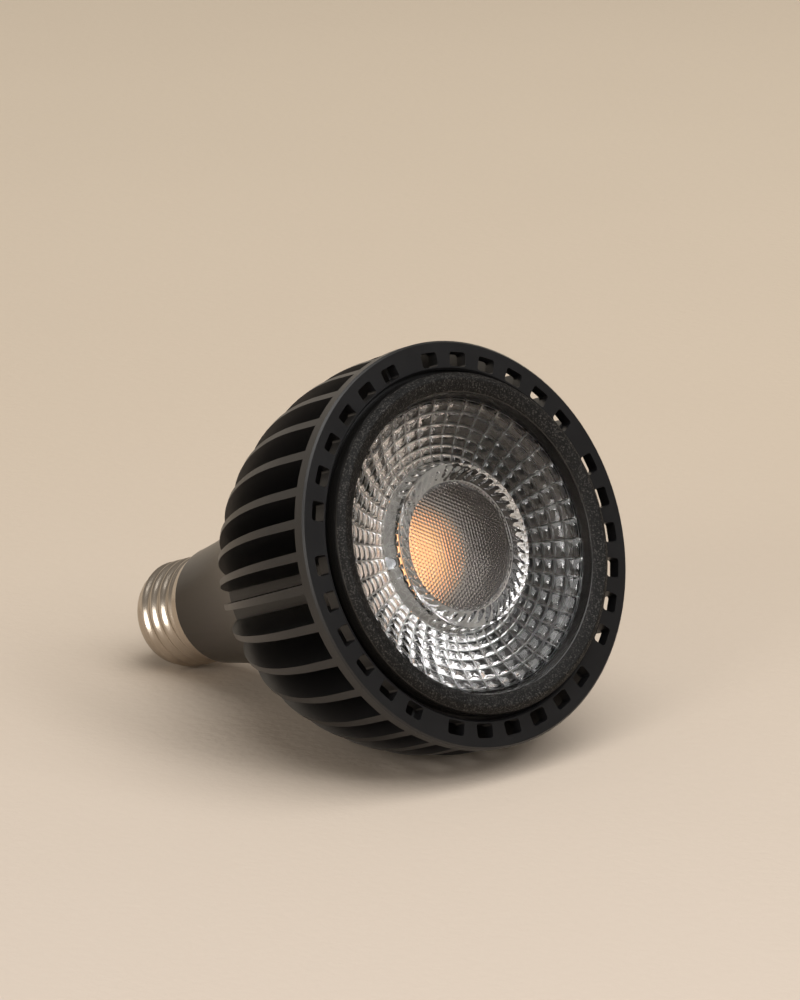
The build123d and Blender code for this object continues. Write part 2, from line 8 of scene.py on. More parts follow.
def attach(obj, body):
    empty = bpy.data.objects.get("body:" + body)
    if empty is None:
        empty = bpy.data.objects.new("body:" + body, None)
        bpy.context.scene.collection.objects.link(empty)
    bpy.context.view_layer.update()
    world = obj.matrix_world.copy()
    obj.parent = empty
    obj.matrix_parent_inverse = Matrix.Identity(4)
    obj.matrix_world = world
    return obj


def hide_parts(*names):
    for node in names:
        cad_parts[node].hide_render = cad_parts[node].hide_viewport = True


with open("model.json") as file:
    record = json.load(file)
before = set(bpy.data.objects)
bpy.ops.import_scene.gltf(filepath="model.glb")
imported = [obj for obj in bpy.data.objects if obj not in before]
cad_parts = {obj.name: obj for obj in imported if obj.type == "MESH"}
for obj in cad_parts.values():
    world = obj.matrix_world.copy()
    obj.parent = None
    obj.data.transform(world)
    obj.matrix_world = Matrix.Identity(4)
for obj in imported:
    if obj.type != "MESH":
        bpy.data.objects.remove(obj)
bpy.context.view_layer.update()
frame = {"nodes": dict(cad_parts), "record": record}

# The bulb's own axes: its sizes are millimetres from the middle of the flange's face, with the
# light leaving along +Z. LYING carries them to the frame, where the bulb lies on the floor, and
# UPRIGHT carries them back. The mount halfway along the cap's collar gives place and direction.
MM = 0.001
MOUNT_DEPTH = 96.5
cap_mount = frame["record"]["mounts"][0]
cap_way = Vector(cap_mount["axis"]).normalized()
light_way = -cap_way
across = Vector((1, 0, 0))
upward = light_way.cross(across)
face_centre = Vector(cap_mount["pos_m"]) - cap_way * MOUNT_DEPTH * MM
TURN = Matrix((across, upward, light_way)).transposed()
LYING = Matrix.Translation(face_centre) @ TURN.to_4x4() @ Matrix.Scale(MM, 4)
UPRIGHT = LYING.inverted()

# Heat sink: the edges that the spray softens
CASTING_BEVEL = 0.22
CASTING_CREASE = 40
BEVEL_FROM_ANGLE = 35

# Bezel: (radius, z) from the back of its outer wall over the top to the back of its inner wall
BEZEL_WALL = [(39.85, -2.0), (39.85, 2.2), (38.9, 3.3)]
BEZEL_TOP = [(38.9, 3.3), (38.1, 3.7), (35.9, 2.85), (35.3, 2.35)]
BEZEL_LIP = [(35.3, 2.35), (35.1, 2.2), (34.6, 0.2), (34.5, -0.3)]
BEZEL_BACK = [(36.7, -0.3), (36.7, -2.0)]
BEZEL_ROUND = 0.5
BEZEL_LIP_ROUND = 0.25
BEZEL_STEPS = 240
BEZEL_CREASE = 50
POLISHED_BEYOND = 39.6
POLISHED_WITHIN = 35.25
CORNER_STEPS = 4

# Lens: its facets stand in columns round the bulb and in rows from the border to the barrel
FACET_COLUMNS = 45
COLUMN_STEPS = 8
LENS_STEPS = FACET_COLUMNS * COLUMN_STEPS
LENS_CREASE = 22
FACET_ROWS = 6
ROW_STEPS = 8
ROW_TAPER = 0.93
FACET_OUTER_RADIUS = 34.0
BARREL_FOOT_RADIUS = 20.0
BOWL_DEPTH = 6.2
BOWL_SLOPE = 11.45
FACET_FLATNESS = 3.5
FACET_SAG = 0.22
PILLOW_SHARE = 0.12
PILLOW_LEAST = 0.13

# Lens: a window at the top of the barrel, slanting beads round it and a fluted wall below
WINDOW_RADIUS = 15.3
WINDOW_DEPTH = 2.3
WINDOW_DOME = 0.35
WINDOW_STEPS = 10
BEAD_STEPS = 12
BEAD_LIFT = 0.8
BEAD_REACH = 0.88
BEAD_LEAN = 1.1
RIM_RADIUS = 19.2
RIM_WIDTH = 0.4
RIM_DEPTH = 1.3
RIM_EDGE = 0.05
RIM_DROP = 0.1
WALL_STEPS = 6
BARREL_CREASE = 0.15
FLUTE_DEPTH = 0.4
FLUTE_REACH = 1.2

# Lens: its border, the curved cone behind and the cavity under the window. What lies above a
# line that falls by BACK_SLOPE from the rim inwards belongs to the front.
BACK_SLOPE = 0.55
BORDER_STEP = 0.3
LENS_EDGE_RADIUS = 36.1
LENS_TOP = 0.3
LENS_EDGE_BACK = 2.8
CONE_INSET = 0.4
CONE_BULGE = 1.2
CONE_STEPS = 28
LENS_FOOT_RADIUS = 12.0
LENS_FOOT_DEPTH = 20.5
CAVITY_FOOT_RADIUS = 10.5
CAVITY_TOP_RADIUS = 15.0
CAVITY_BEVEL = 0.6
WINDOW_BACK = 4.4

# Screw shell: a collar, four turns of thread and a rounded foot, rolled from one sheet.
# THREAD_PHASE is the share of a turn by which the first crest is moved on.
CAP_MOUTH = 95.2
CAP_COLLAR = 2.6
CAP_COLLAR_RADIUS = 13.25
CAP_LIP = 0.1
CAP_LIP_HEIGHT = 0.3
CAP_SHOULDER = 0.35
CAP_ROUND = 0.25
CAP_CREST_RADIUS = 13.1
CAP_ROOT_RADIUS = 12.15
CAP_PITCH = 25.4 / 7
CAP_TURNS = 4
THREAD_LENGTH = CAP_TURNS * CAP_PITCH
THREAD_STEPS = 96
THREAD_PHASE = 0.18
THREAD_RUN_IN = 0.4
THREAD_RUN_OUT = 0.5
CAP_FOOT_RADIUS = 9.6
CAP_FOOT_HEIGHT = 2.0
CAP_FOOT_FULLNESS = 0.8
CAP_FOOT_STEPS = 8
CAP_SHEET = 0.4
CAP_STEPS = 144
CAP_CREASE = 35

# Studio, in metres and degrees
FLOOR_RADIUS = 14.0
FLOOR_STEPS = 96
# The way across the floor along which its colour carries painted shading.
FLOOR_SHADE_WAY = (0.659, 0.752)
ROOM_AZIMUTH, ROOM_ELEVATION = 42, 8
CAMERA_AZIMUTH, CAMERA_ELEVATION = -41.223, 15.829
CAMERA_DISTANCE = 1.57563
AIM_LEFT, AIM_UP = 15.56 * MM, 10.13 * MM
FOCUS_PIXELS, FRAME_PIXELS = 6863, 1000
LAMP_TARGET = Vector((0, 0, 0.04))
LAMPS = [
    # name, azimuth, elevation, distance, (width, height), watts, colour
    ("key", -2, 66, 2.0, (2.1, 2.1), 45, (1.0, 0.985, 0.96)),
    ("side", -72, 15, 1.9, (0.6, 1.0), 11, (1.0, 0.98, 0.95)),
    ("glints", 0, 36, 1.8, (0.45, 0.45), 8, (1.0, 0.98, 0.96)),
]

NUMBER = "NodeSocketFloat"
WHOLE = "NodeSocketInt"
MESH = "NodeSocketGeometry"


# Nodes

def linear(red, green, blue):
    """A colour as the eye names it, 0 to 255, in the renderer's linear values."""
    parts = [c / 255 for c in (red, green, blue)]
    return tuple(c / 12.92 if c <= 0.04045 else ((c + 0.055) / 1.055) ** 2.4 for c in parts) + (1,)


def place(tree, kind, inputs=None, **settings):
    """A node with its settings and its inputs, each a plain value or a socket to link."""
    node = tree.nodes.new(kind)
    for name, value in settings.items():
        setattr(node, name, value)
    for name, value in (inputs or {}).items():
        plug(tree, node.inputs[name], value)
    return node


def plug(tree, socket, value):
    """Links another socket or a sum to a socket, or sets a plain value on it."""
    if isinstance(value, Sum):
        value = value.socket
    if isinstance(value, bpy.types.NodeSocket):
        tree.links.new(value, socket)
    else:
        socket.default_value = value


class Sum:
    """A number in a node tree. Ordinary sums with it make Math nodes."""

    def __init__(self, tree, socket):
        self.tree = tree
        self.socket = socket

    def math(self, operation, *others):
        node = place(self.tree, "ShaderNodeMath", operation=operation)
        for socket, value in zip(node.inputs, (self,) + others):
            plug(self.tree, socket, value)
        return Sum(self.tree, node.outputs[0])

    def __add__(self, other):
        return self.math("ADD", other)

    def __sub__(self, other):
        return self.math("SUBTRACT", other)

    def __mul__(self, other):
        return self.math("MULTIPLY", other)

    def __truediv__(self, other):
        return self.math("DIVIDE", other)

    def rest(self):
        """What is missing to 1."""
        return self * -1.0 + 1.0

    def between(self, low, high):
        """0 up to low, 1 from high on, and smooth between them."""
        inputs = {"Value": self, "From Min": low, "From Max": high}
        node = place(self.tree, "ShaderNodeMapRange", inputs, interpolation_type="SMOOTHSTEP")
        return Sum(self.tree, node.outputs["Result"])


def group(name, numbers, outputs):
    """An empty shader group with named number inputs and outputs, its inputs as sums, its end."""
    tree = bpy.data.node_groups.new(name, "ShaderNodeTree")
    for label, value in numbers.items():
        socket = tree.interface.new_socket(label, in_out="INPUT", socket_type=NUMBER)
        socket.default_value = value
    for label in outputs:
        tree.interface.new_socket(label, in_out="OUTPUT", socket_type=NUMBER)
    start = tree.nodes.new("NodeGroupInput")
    end = tree.nodes.new("NodeGroupOutput")
    given = {label: Sum(tree, start.outputs[label]) for label in numbers}
    return tree, given, end


def own_point(tree):
    """A surface point in the bulb's own axes, in millimetres."""
    here = place(tree, "ShaderNodeTexCoord").outputs["Object"]
    mapping = place(tree, "ShaderNodeMapping", {"Vector": here})
    mapping.inputs["Location"].default_value = UPRIGHT.translation
    mapping.inputs["Rotation"].default_value = TURN.transposed().to_euler()
    mapping.inputs["Scale"].default_value = (1 / MM, 1 / MM, 1 / MM)
    return mapping.outputs["Vector"]


def spread(tree, vector):
    """The three numbers of a vector."""
    split = place(tree, "ShaderNodeSeparateXYZ", {"Vector": vector})
    return [Sum(tree, socket) for socket in split.outputs]


def joined(tree, x, y, z):
    """The vector of three numbers."""
    return place(tree, "ShaderNodeCombineXYZ", {"X": x, "Y": y, "Z": z}).outputs["Vector"]


def compass(tree, position):
    """The angle of a point round the bulb's axis, its radius and its height."""
    x, y, z = spread(tree, position)
    return y.math("ARCTAN2", x), (x * x + y * y).math("SQRT"), z


def noise(tree, vector, size, detail=2.0, roughness=0.5):
    """Even noise, 0 to 1, whose lumps are about size millimetres across."""
    scale = size.math("POWER", -1.0) if isinstance(size, Sum) else 1 / size
    node = place(tree, "ShaderNodeTexNoise", {"Vector": vector, "Scale": scale})
    node.inputs["Detail"].default_value = detail
    node.inputs["Roughness"].default_value = roughness
    return Sum(tree, node.outputs["Fac"])


def cells(tree, vector, size):
    """Scattered cells: the distance to a cell's middle, in cells, and its own number, 0 to 1."""
    inputs = {"Vector": vector, "Scale": size.math("POWER", -1.0)}
    node = place(tree, "ShaderNodeTexVoronoi", inputs)
    return Sum(tree, node.outputs["Distance"]), spread(tree, node.outputs["Color"])[0]


# Effects that the finishes use

def make_coat_grain():
    """The fine orange-peel of a sprayed or moulded surface, and its uneven tone and gloss."""
    numbers = {"Grain": 0.5, "Patch": 14.0}
    tree, given, end = group("coat_grain", numbers, ["Height", "Tone", "Gloss"])
    point = own_point(tree)
    fine = noise(tree, point, given["Grain"], 3.0, 0.6)
    broad = noise(tree, point, given["Patch"], 3.0, 0.55)
    plug(tree, end.inputs["Height"], fine)
    plug(tree, end.inputs["Tone"], broad * 0.6 + fine * 0.4)
    plug(tree, end.inputs["Gloss"], broad.between(0.3, 0.7))
    return tree


def make_dust():
    """A few pale specks of dust. Cover is the share of cells that hold one."""
    numbers = {"Cell": 3.0, "Speck": 0.1, "Cover": 0.05}
    tree, given, end = group("dust", numbers, ["Mask"])
    distance, pick = cells(tree, own_point(tree), given["Cell"])
    held = pick.math("LESS_THAN", given["Cover"])
    size = given["Speck"]
    speck = (distance * given["Cell"]).between(size * 0.5, size).rest()
    plug(tree, end.inputs["Mask"], held * speck)
    return tree


def make_spark():
    """The spark-eroded skin of a moulding: dense fine pits, and a Glint mask of a few cells where a
    highlight is painted.
    """
    tree, given, end = group("spark", {"Pit": 0.35}, ["Height", "Glint"])
    point = own_point(tree)
    distance, pick = cells(tree, point, given["Pit"])
    rough = noise(tree, point, given["Pit"], 2.0, 0.7)
    plug(tree, end.inputs["Height"], distance * 0.5 + rough * 0.7)
    # Glint marks the cells that get a painted highlight and a glossier surface.
    plug(tree, end.inputs["Glint"], pick.between(0.7, 0.98))
    return tree


def make_rolled_marks():
    """Fine marks that run round the axis of a turned or rolled metal piece."""
    numbers = {"Mark": 0.12, "Length": 6.0}
    tree, given, end = group("rolled_marks", numbers, ["Height", "Tone"])
    point = own_point(tree)
    x, y, z = spread(tree, point)
    stretched = joined(tree, x / given["Length"], y / given["Length"], z / given["Mark"])
    marks = noise(tree, stretched, 1.0, 2.0, 0.6)
    broad = noise(tree, point, given["Length"], 3.0, 0.6)
    plug(tree, end.inputs["Height"], marks)
    plug(tree, end.inputs["Tone"], marks * 0.5 + broad * 0.5)
    return tree


def make_micro_lenses():
    """The honeycomb of tiny lenses on the window's front, inside Radius and above Depth."""
    numbers = {"Pitch": 0.8, "Radius": WINDOW_RADIUS, "Depth": -6.0}
    tree, given, end = group("micro_lenses", numbers, ["Height", "Mask"])
    x, y, z = spread(tree, own_point(tree))
    waves = []
    for way in (0, 60, 120):
        along = x * cos(radians(way)) + y * sin(radians(way))
        waves.append((along / given["Pitch"] * (4 * pi / sqrt(3))).math("COSINE"))
    total = waves[0] + waves[1] + waves[2]
    radius = (x * x + y * y).math("SQRT")
    inside = (radius - given["Radius"]).between(-0.3, 0.1).rest()
    front = z.math("GREATER_THAN", given["Depth"])
    plug(tree, end.inputs["Height"], (total / 6.0 + 0.5) * inside * front)
    plug(tree, end.inputs["Mask"], inside * front)
    return tree


def facet_edges():
    """The circles between the rows of facets, as (radius, depth), from the outermost inwards."""
    total = sum(ROW_TAPER**k for k in range(FACET_ROWS))
    edges = []
    for row in range(FACET_ROWS + 1):
        share = sum(ROW_TAPER**k for k in range(row)) / total
        radius = FACET_OUTER_RADIUS - share * (FACET_OUTER_RADIUS - BARREL_FOOT_RADIUS)
        bend = BOWL_SLOPE - BOWL_DEPTH + LENS_TOP
        edges.append((radius, LENS_TOP + BOWL_SLOPE * share - bend * share**2))
    return edges


def make_facet_grooves():
    """The grooves between the facets, where the moulding is a little dull: 1 in a groove."""
    numbers = {"Columns": FACET_COLUMNS, "Width": 0.3}
    tree, given, end = group("facet_grooves", numbers, ["Mask"])
    angle, radius, z = compass(tree, own_point(tree))
    share = (angle * given["Columns"] / (2 * pi)).math("FRACT")
    near = share.rest().math("MINIMUM", share) * radius * (2 * pi) / given["Columns"]
    for edge_radius, depth in facet_edges():
        near = near.math("MINIMUM", (radius - edge_radius).math("ABSOLUTE"))
    beyond_barrel = radius.math("GREATER_THAN", BARREL_FOOT_RADIUS)
    in_rows = beyond_barrel * radius.math("LESS_THAN", FACET_OUTER_RADIUS)
    divide = (radius - FACET_OUTER_RADIUS) * BACK_SLOPE - LENS_EDGE_BACK
    front = z.math("GREATER_THAN", divide)
    groove = near.between(given["Width"] * 0.4, given["Width"]).rest()
    plug(tree, end.inputs["Mask"], groove * in_rows * front)
    return tree


COAT_GRAIN = make_coat_grain()
FACET_GROOVES = make_facet_grooves()
DUST = make_dust()
SPARK = make_spark()
ROLLED_MARKS = make_rolled_marks()
MICRO_LENSES = make_micro_lenses()


# Finishes

def finish(name, **even):
    """A material with one Principled shader, whose even inputs are given with _ for spaces."""
    material = bpy.data.materials.new(name)
    material.use_nodes = True
    tree = material.node_tree
    shader = tree.nodes["Principled BSDF"]
    for label, value in even.items():
        shader.inputs[label.replace("_", " ")].default_value = value
    return material, tree, shader


def effect(tree, effect_tree, **numbers):
    """An effect's group node with its own numbers, and its outputs as sums."""
    node = tree.nodes.new("ShaderNodeGroup")
    node.node_tree = effect_tree
    for label, value in numbers.items():
        node.inputs[label].default_value = value
    return {socket.name: Sum(tree, socket) for socket in node.outputs}


def tint(tree, factor, low, high):
    """A colour between two others."""
    node = place(tree, "ShaderNodeMix", data_type="RGBA")
    plug(tree, node.inputs["Factor"], factor)
    plug(tree, node.inputs["A"], low)
    plug(tree, node.inputs["B"], high)
    return node.outputs["Result"]


def emboss(tree, shader, height, depth_mm):
    """Feeds a height to the shader's normal. depth_mm is what a height of 1 stands for."""
    bump = place(tree, "ShaderNodeBump", {"Height": height, "Strength": 1.0})
    bump.inputs["Distance"].default_value = depth_mm * MM
    tree.links.new(bump.outputs["Normal"], shader.inputs["Normal"])


def coat(tree, shader, colour, roughness, height, depth_mm):
    """Gives the shader its colour, its roughness and its relief."""
    plug(tree, shader.inputs["Base Color"], colour)
    plug(tree, shader.inputs["Roughness"], roughness)
    emboss(tree, shader, height, depth_mm)


def cast_black():
    """The heat sink's sprayed satin black, with a little dust."""
    material, tree, shader = finish("cast_black", Specular_IOR_Level=0.5)
    grain = effect(tree, COAT_GRAIN, Grain=0.32, Patch=16.0)
    dust = effect(tree, DUST, Cell=2.6, Speck=0.13, Cover=0.06)
    black = tint(tree, grain["Tone"], linear(12, 12, 13), linear(20, 20, 22))
    colour = tint(tree, dust["Mask"] * 0.6, black, linear(170, 160, 150))
    coat(tree, shader, colour, grain["Tone"] * 0.12 + 0.32, grain["Height"], 0.035)
    return material


def spark_black():
    """The bezel's spark-eroded black, with painted glints: a few cells light in colour and glossier.
    """
    material, tree, shader = finish("spark_black", Specular_IOR_Level=0.2)
    spark = effect(tree, SPARK, Pit=0.26)
    # Painted highlight: the glint cells are lighter in colour than the black between them.
    colour = tint(tree, spark["Glint"], linear(3, 3, 3), linear(58, 56, 54))
    coat(tree, shader, colour, spark["Glint"] * -0.2 + 0.5, spark["Height"], 0.2)
    return material


def lip_black():
    """The polished inner lip and outer wall of the bezel."""
    material, tree, shader = finish("lip_black", Specular_IOR_Level=0.45)
    grain = effect(tree, COAT_GRAIN, Grain=0.5, Patch=9.0)
    colour = tint(tree, grain["Tone"], linear(12, 12, 12), linear(20, 19, 18))
    coat(tree, shader, colour, grain["Tone"] * 0.1 + 0.17, grain["Height"], 0.006)
    return material


def neck_black():
    """The neck's moulded satin black, with a warm sheen."""
    warm = (1.0, 0.88, 0.78, 1.0)
    material, tree, shader = finish("neck_black", Specular_IOR_Level=0.35, Specular_Tint=warm)
    grain = effect(tree, COAT_GRAIN, Grain=0.4, Patch=20.0)
    colour = tint(tree, grain["Tone"], linear(14, 12, 10), linear(22, 19, 16))
    coat(tree, shader, colour, grain["Tone"] * 0.1 + 0.24, grain["Height"], 0.012)
    return material


def clear_acrylic():
    """The lens: clear, duller in the grooves, with tiny lenses pressed into its window, which is
    tinted grey as painted shade for the dim cavity behind it.
    """
    material, tree, shader = finish("clear_acrylic", Transmission_Weight=1.0, IOR=1.49)
    lenses = effect(tree, MICRO_LENSES, Pitch=0.95, Radius=WINDOW_RADIUS - 0.2)
    grain = effect(tree, COAT_GRAIN, Grain=0.8, Patch=7.0)
    grooves = effect(tree, FACET_GROOVES, Columns=FACET_COLUMNS, Width=0.34)
    clear = tint(tree, grain["Gloss"], (1, 1, 1, 1), (0.97, 0.98, 1, 1))
    # Painted shade: the window is tinted grey so that what lies behind it looks dimmer.
    colour = tint(tree, lenses["Mask"], clear, (0.74, 0.7, 0.68, 1))
    roughness = grooves["Mask"] * 0.5 + grain["Tone"] * 0.01 + 0.003
    coat(tree, shader, colour, roughness, lenses["Height"], 0.16)
    return material


def rolled_nickel():
    """The screw shell's nickel-plated rolled sheet."""
    material, tree, shader = finish("rolled_nickel", Metallic=1.0)
    marks = effect(tree, ROLLED_MARKS, Mark=0.1, Length=7.0)
    colour = tint(tree, marks["Tone"], linear(150, 138, 124), linear(205, 196, 184))
    coat(tree, shader, colour, marks["Tone"] * 0.16 + 0.16, marks["Height"], 0.006)
    return material


def tinned_brass():
    """The centre contact: tin over brass, worn yellow in places."""
    material, tree, shader = finish("tinned_brass", Metallic=1.0)
    marks = effect(tree, ROLLED_MARKS, Mark=0.2, Length=1.5)
    worn = marks["Tone"].between(0.45, 0.62)
    colour = tint(tree, worn, linear(196, 192, 186), linear(190, 168, 120))
    coat(tree, shader, colour, marks["Tone"] * 0.25 + 0.2, marks["Height"], 0.03)
    return material


def phosphor():
    """The light source's orange silicone, with a painted glow: it emits its own colour though the
    bulb is unlit, at 1.7 for rays of few bounces and 0.3 for deeper ones, and deeper rays see it
    painted pale cream, a painted reflection for the facets that mirror it many times over.
    """
    material, tree, shader = finish("phosphor", Roughness=0.45)
    look = effect(tree, COAT_GRAIN, Grain=0.9, Patch=4.0)
    bounces = Sum(tree, place(tree, "ShaderNodeLightPath").outputs["Ray Depth"])
    deep_rays = bounces.math("GREATER_THAN", 2.5)
    orange = tint(tree, look["Tone"], linear(250, 176, 110), linear(255, 206, 156))
    # Painted reflection: past two and a half bounces the orange turns most of the way to a pale
    # cream.
    colour = tint(tree, deep_rays * 0.8, orange, linear(226, 218, 210))
    plug(tree, shader.inputs["Base Color"], colour)
    # Painted glow: the phosphor emits though it is no lamp, strongly for near rays and faintly for
    # deep ones.
    plug(tree, shader.inputs["Emission Color"], colour)
    plug(tree, shader.inputs["Emission Strength"], deep_rays * -1.4 + 1.7)
    emboss(tree, shader, look["Height"], 0.02)
    return material


def one_colour(name, dark, light, rough, relief=0.01, **even):
    """An uneven one-colour finish, as the pieces inside have."""
    material, tree, shader = finish(name, **even)
    look = effect(tree, COAT_GRAIN, Grain=0.3, Patch=3.0)
    colour = tint(tree, look["Tone"], linear(*dark), linear(*light))
    coat(tree, shader, colour, look["Tone"] * 0.15 + rough, look["Height"], relief)
    return material


# Meshes

def new_object(name, mesh, material):
    """An object of the mesh, dressed in the material if there is one."""
    obj = bpy.data.objects.new(name, mesh)
    bpy.context.scene.collection.objects.link(obj)
    if material:
        mesh.materials.clear()
        mesh.materials.append(material)
    return obj


def mesh_of(name, bm):
    """The mesh of a finished bmesh."""
    mesh = bpy.data.meshes.new(name)
    bm.to_mesh(mesh)
    bm.free()
    return mesh


def smooth(mesh, crease):
    """Smooth shading with creases where faces meet at more than the angle."""
    mesh.shade_smooth()
    mesh.set_sharp_from_angle(angle=radians(crease))


def tidy_mesh(mesh):
    """Joins points that coincide and turns all faces outwards."""
    bm = bmesh.new()
    bm.from_mesh(mesh)
    bmesh.ops.remove_doubles(bm, verts=bm.verts, dist=1e-4)
    bmesh.ops.dissolve_degenerate(bm, edges=bm.edges, dist=1e-5)
    bmesh.ops.recalc_face_normals(bm, faces=bm.faces)
    bm.to_mesh(mesh)
    bm.free()


def make_plain(obj):
    """Turns the object with its modifiers into one plain mesh."""
    evaluated = obj.evaluated_get(bpy.context.evaluated_depsgraph_get())
    final = bpy.data.meshes.new_from_object(evaluated)
    obj.modifiers.clear()
    obj.data = final
    return final


def settle(obj, node):
    """Lets a finished piece ride in the frame and stand for the node named."""
    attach(obj, "root")
    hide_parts(node)


def around(steps, radius, z):
    """A ring of points round the bulb's axis."""
    angles = [2 * pi * k / steps for k in range(steps)]
    return [(radius * cos(a), radius * sin(a), z) for a in angles]


def ring_strip(rings, bm=None, closed=False):
    """Joins equal rings of points in order, as a strip of its own in a new or given bmesh."""
    bm = bm or bmesh.new()
    made = [[bm.verts.new(point) for point in ring] for ring in rings]
    pairs = list(zip(made, made[1:]))
    if closed:
        pairs.append((made[-1], made[0]))
    for low, high in pairs:
        count = len(low)
        for k in range(count):
            after = (k + 1) % count
            bm.faces.new((low[k], low[after], high[after], high[k]))
    return bm


def turned(name, outline, steps):
    """A closed outline of (radius, z) pairs turned about the bulb's axis, in the frame."""
    mesh = mesh_of(name, ring_strip([around(steps, r, z) for r, z in outline], closed=True))
    tidy_mesh(mesh)
    mesh.transform(LYING)
    return mesh


def rounded(points, radius):
    """An outline with the middle points' corners rounded."""
    path = [Vector(points[0])]
    for before, corner, after in zip(points, points[1:], points[2:]):
        before, corner, after = Vector(before), Vector(corner), Vector(after)
        one = (before - corner).normalized()
        two = (after - corner).normalized()
        reach = min(radius, (before - corner).length * 0.45, (after - corner).length * 0.45)
        start, end = corner + one * reach, corner + two * reach
        for k in range(CORNER_STEPS + 1):
            t = k / CORNER_STEPS
            path.append(start * (1 - t) ** 2 + corner * 2 * t * (1 - t) + end * t**2)
    path.append(Vector(points[-1]))
    return [tuple(p) for p in path]


# Rules: Geometry Nodes trees in the bulb's own axes

def rule_tree(name, numbers):
    """An empty tree with a mesh in and out, a material and named number inputs."""
    tree = bpy.data.node_groups.new(name, "GeometryNodeTree")
    tree.interface.new_socket("Mesh", in_out="INPUT", socket_type=MESH)
    for label, value in numbers.items():
        kind = WHOLE if isinstance(value, int) else NUMBER
        tree.interface.new_socket(label, in_out="INPUT", socket_type=kind).default_value = value
    tree.interface.new_socket("Material", in_out="INPUT", socket_type="NodeSocketMaterial")
    tree.interface.new_socket("Mesh", in_out="OUTPUT", socket_type=MESH)
    start = tree.nodes.new("NodeGroupInput")
    given = {label: Sum(tree, start.outputs[label]) for label in numbers}
    return tree, start, given


def end_rule(tree, start, mesh):
    """The last nodes of a tree: real meshes for instances, and the material."""
    real = place(tree, "GeometryNodeRealizeInstances", {"Geometry": mesh})
    dressed = place(tree, "GeometryNodeSetMaterial", {"Geometry": real.outputs["Geometry"]})
    plug(tree, dressed.inputs["Material"], start.outputs["Material"])
    end = tree.nodes.new("NodeGroupOutput")
    plug(tree, end.inputs["Mesh"], dressed.outputs["Geometry"])


def run_rule(name, tree, mesh, slot, node, crease, **inputs):
    """Runs a tree on a mesh in the bulb's own axes and settles its plain mesh in the frame."""
    obj = new_object(name, mesh, None)
    modifier = obj.modifiers.new("rule", "NODES")
    modifier.node_group = tree
    for item in tree.interface.items_tree:
        if item.in_out == "INPUT" and item.name in inputs:
            modifier[item.identifier] = inputs[item.name]
    final = make_plain(obj)
    tidy_mesh(final)
    final.transform(LYING)
    smooth(final, crease)
    settle(obj, node)


def column_relief():
    """Lifts every column of the lens by the same rule: most in its middle, nothing at its edges.

    The mesh carries what a full lift is, as out and up, and how far the column leans, as lean.
    """
    numbers = {"Columns": FACET_COLUMNS, "Relief": 1.0, "Flatness": FACET_FLATNESS}
    tree, start, given = rule_tree("column_relief", numbers)
    position = place(tree, "GeometryNodeInputPosition").outputs["Position"]
    angle = compass(tree, position)[0]
    out, up, lean = [
        Sum(tree, place(tree, "GeometryNodeInputNamedAttribute", {"Name": label}).outputs[0])
        for label in ("out", "up", "lean")
    ]
    share = (angle * given["Columns"] / (2 * pi) + lean).math("FRACT")
    side = (share * 2.0 - 1.0).math("ABSOLUTE").math("POWER", given["Flatness"])
    lift = side.rest() * given["Relief"]
    shift_x, shift_y = angle.math("COSINE") * out * lift, angle.math("SINE") * out * lift
    moved = place(tree, "GeometryNodeSetPosition", {"Geometry": start.outputs["Mesh"]})
    plug(tree, moved.inputs["Offset"], joined(tree, shift_x, shift_y, up * lift))
    end_rule(tree, start, moved.outputs["Geometry"])
    return tree


def thread_rule():
    """Adds a threaded sheet to a shell's collar and foot: rolled grids, the crest a true helix."""
    numbers = {
        "Round": CAP_STEPS, "Along": THREAD_STEPS,
        "Crest Radius": CAP_CREST_RADIUS, "Root Radius": CAP_ROOT_RADIUS,
        "Pitch": CAP_PITCH, "Length": THREAD_LENGTH, "Start": 0.0, "Sheet": CAP_SHEET,
    }
    tree, start, given = rule_tree("thread", numbers)
    shell = place(tree, "GeometryNodeJoinGeometry")
    plug(tree, shell.inputs["Geometry"], start.outputs["Mesh"])
    mean = (given["Crest Radius"] + given["Root Radius"]) * 0.5
    depth = (given["Crest Radius"] - given["Root Radius"]) * 0.5
    x, y, z = spread(tree, place(tree, "GeometryNodeInputPosition").outputs["Position"])
    turn = x + 0.5
    angle = turn * (2 * pi)
    along = (y + 0.5) * given["Length"]
    to_foot = given["Length"] - along
    run_in = (along / given["Pitch"] / THREAD_RUN_IN).math("MINIMUM", 1.0)
    run_out = (to_foot / given["Pitch"] / THREAD_RUN_OUT).math("MINIMUM", 1.0)
    wave = ((along / given["Pitch"] + turn + THREAD_PHASE) * (2 * pi)).math("COSINE")
    above_root = mean + depth * run_in * wave - given["Root Radius"]
    for inset in (0.0, 1.0):
        grid = place(tree, "GeometryNodeMeshGrid", {"Size X": 1.0, "Size Y": 1.0})
        plug(tree, grid.inputs["Vertices X"], given["Round"] + 1.0)
        plug(tree, grid.inputs["Vertices Y"], given["Along"] + 1.0)
        radius = given["Root Radius"] + above_root * run_out - given["Sheet"] * inset
        rolled_x, rolled_y = angle.math("COSINE") * radius, angle.math("SINE") * radius
        moved = place(tree, "GeometryNodeSetPosition", {"Geometry": grid.outputs["Mesh"]})
        rolled = joined(tree, rolled_x, rolled_y, given["Start"] - along)
        plug(tree, moved.inputs["Position"], rolled)
        plug(tree, shell.inputs["Geometry"], moved.outputs["Geometry"])
    end_rule(tree, start, shell.outputs["Geometry"])
    return tree


# Pieces

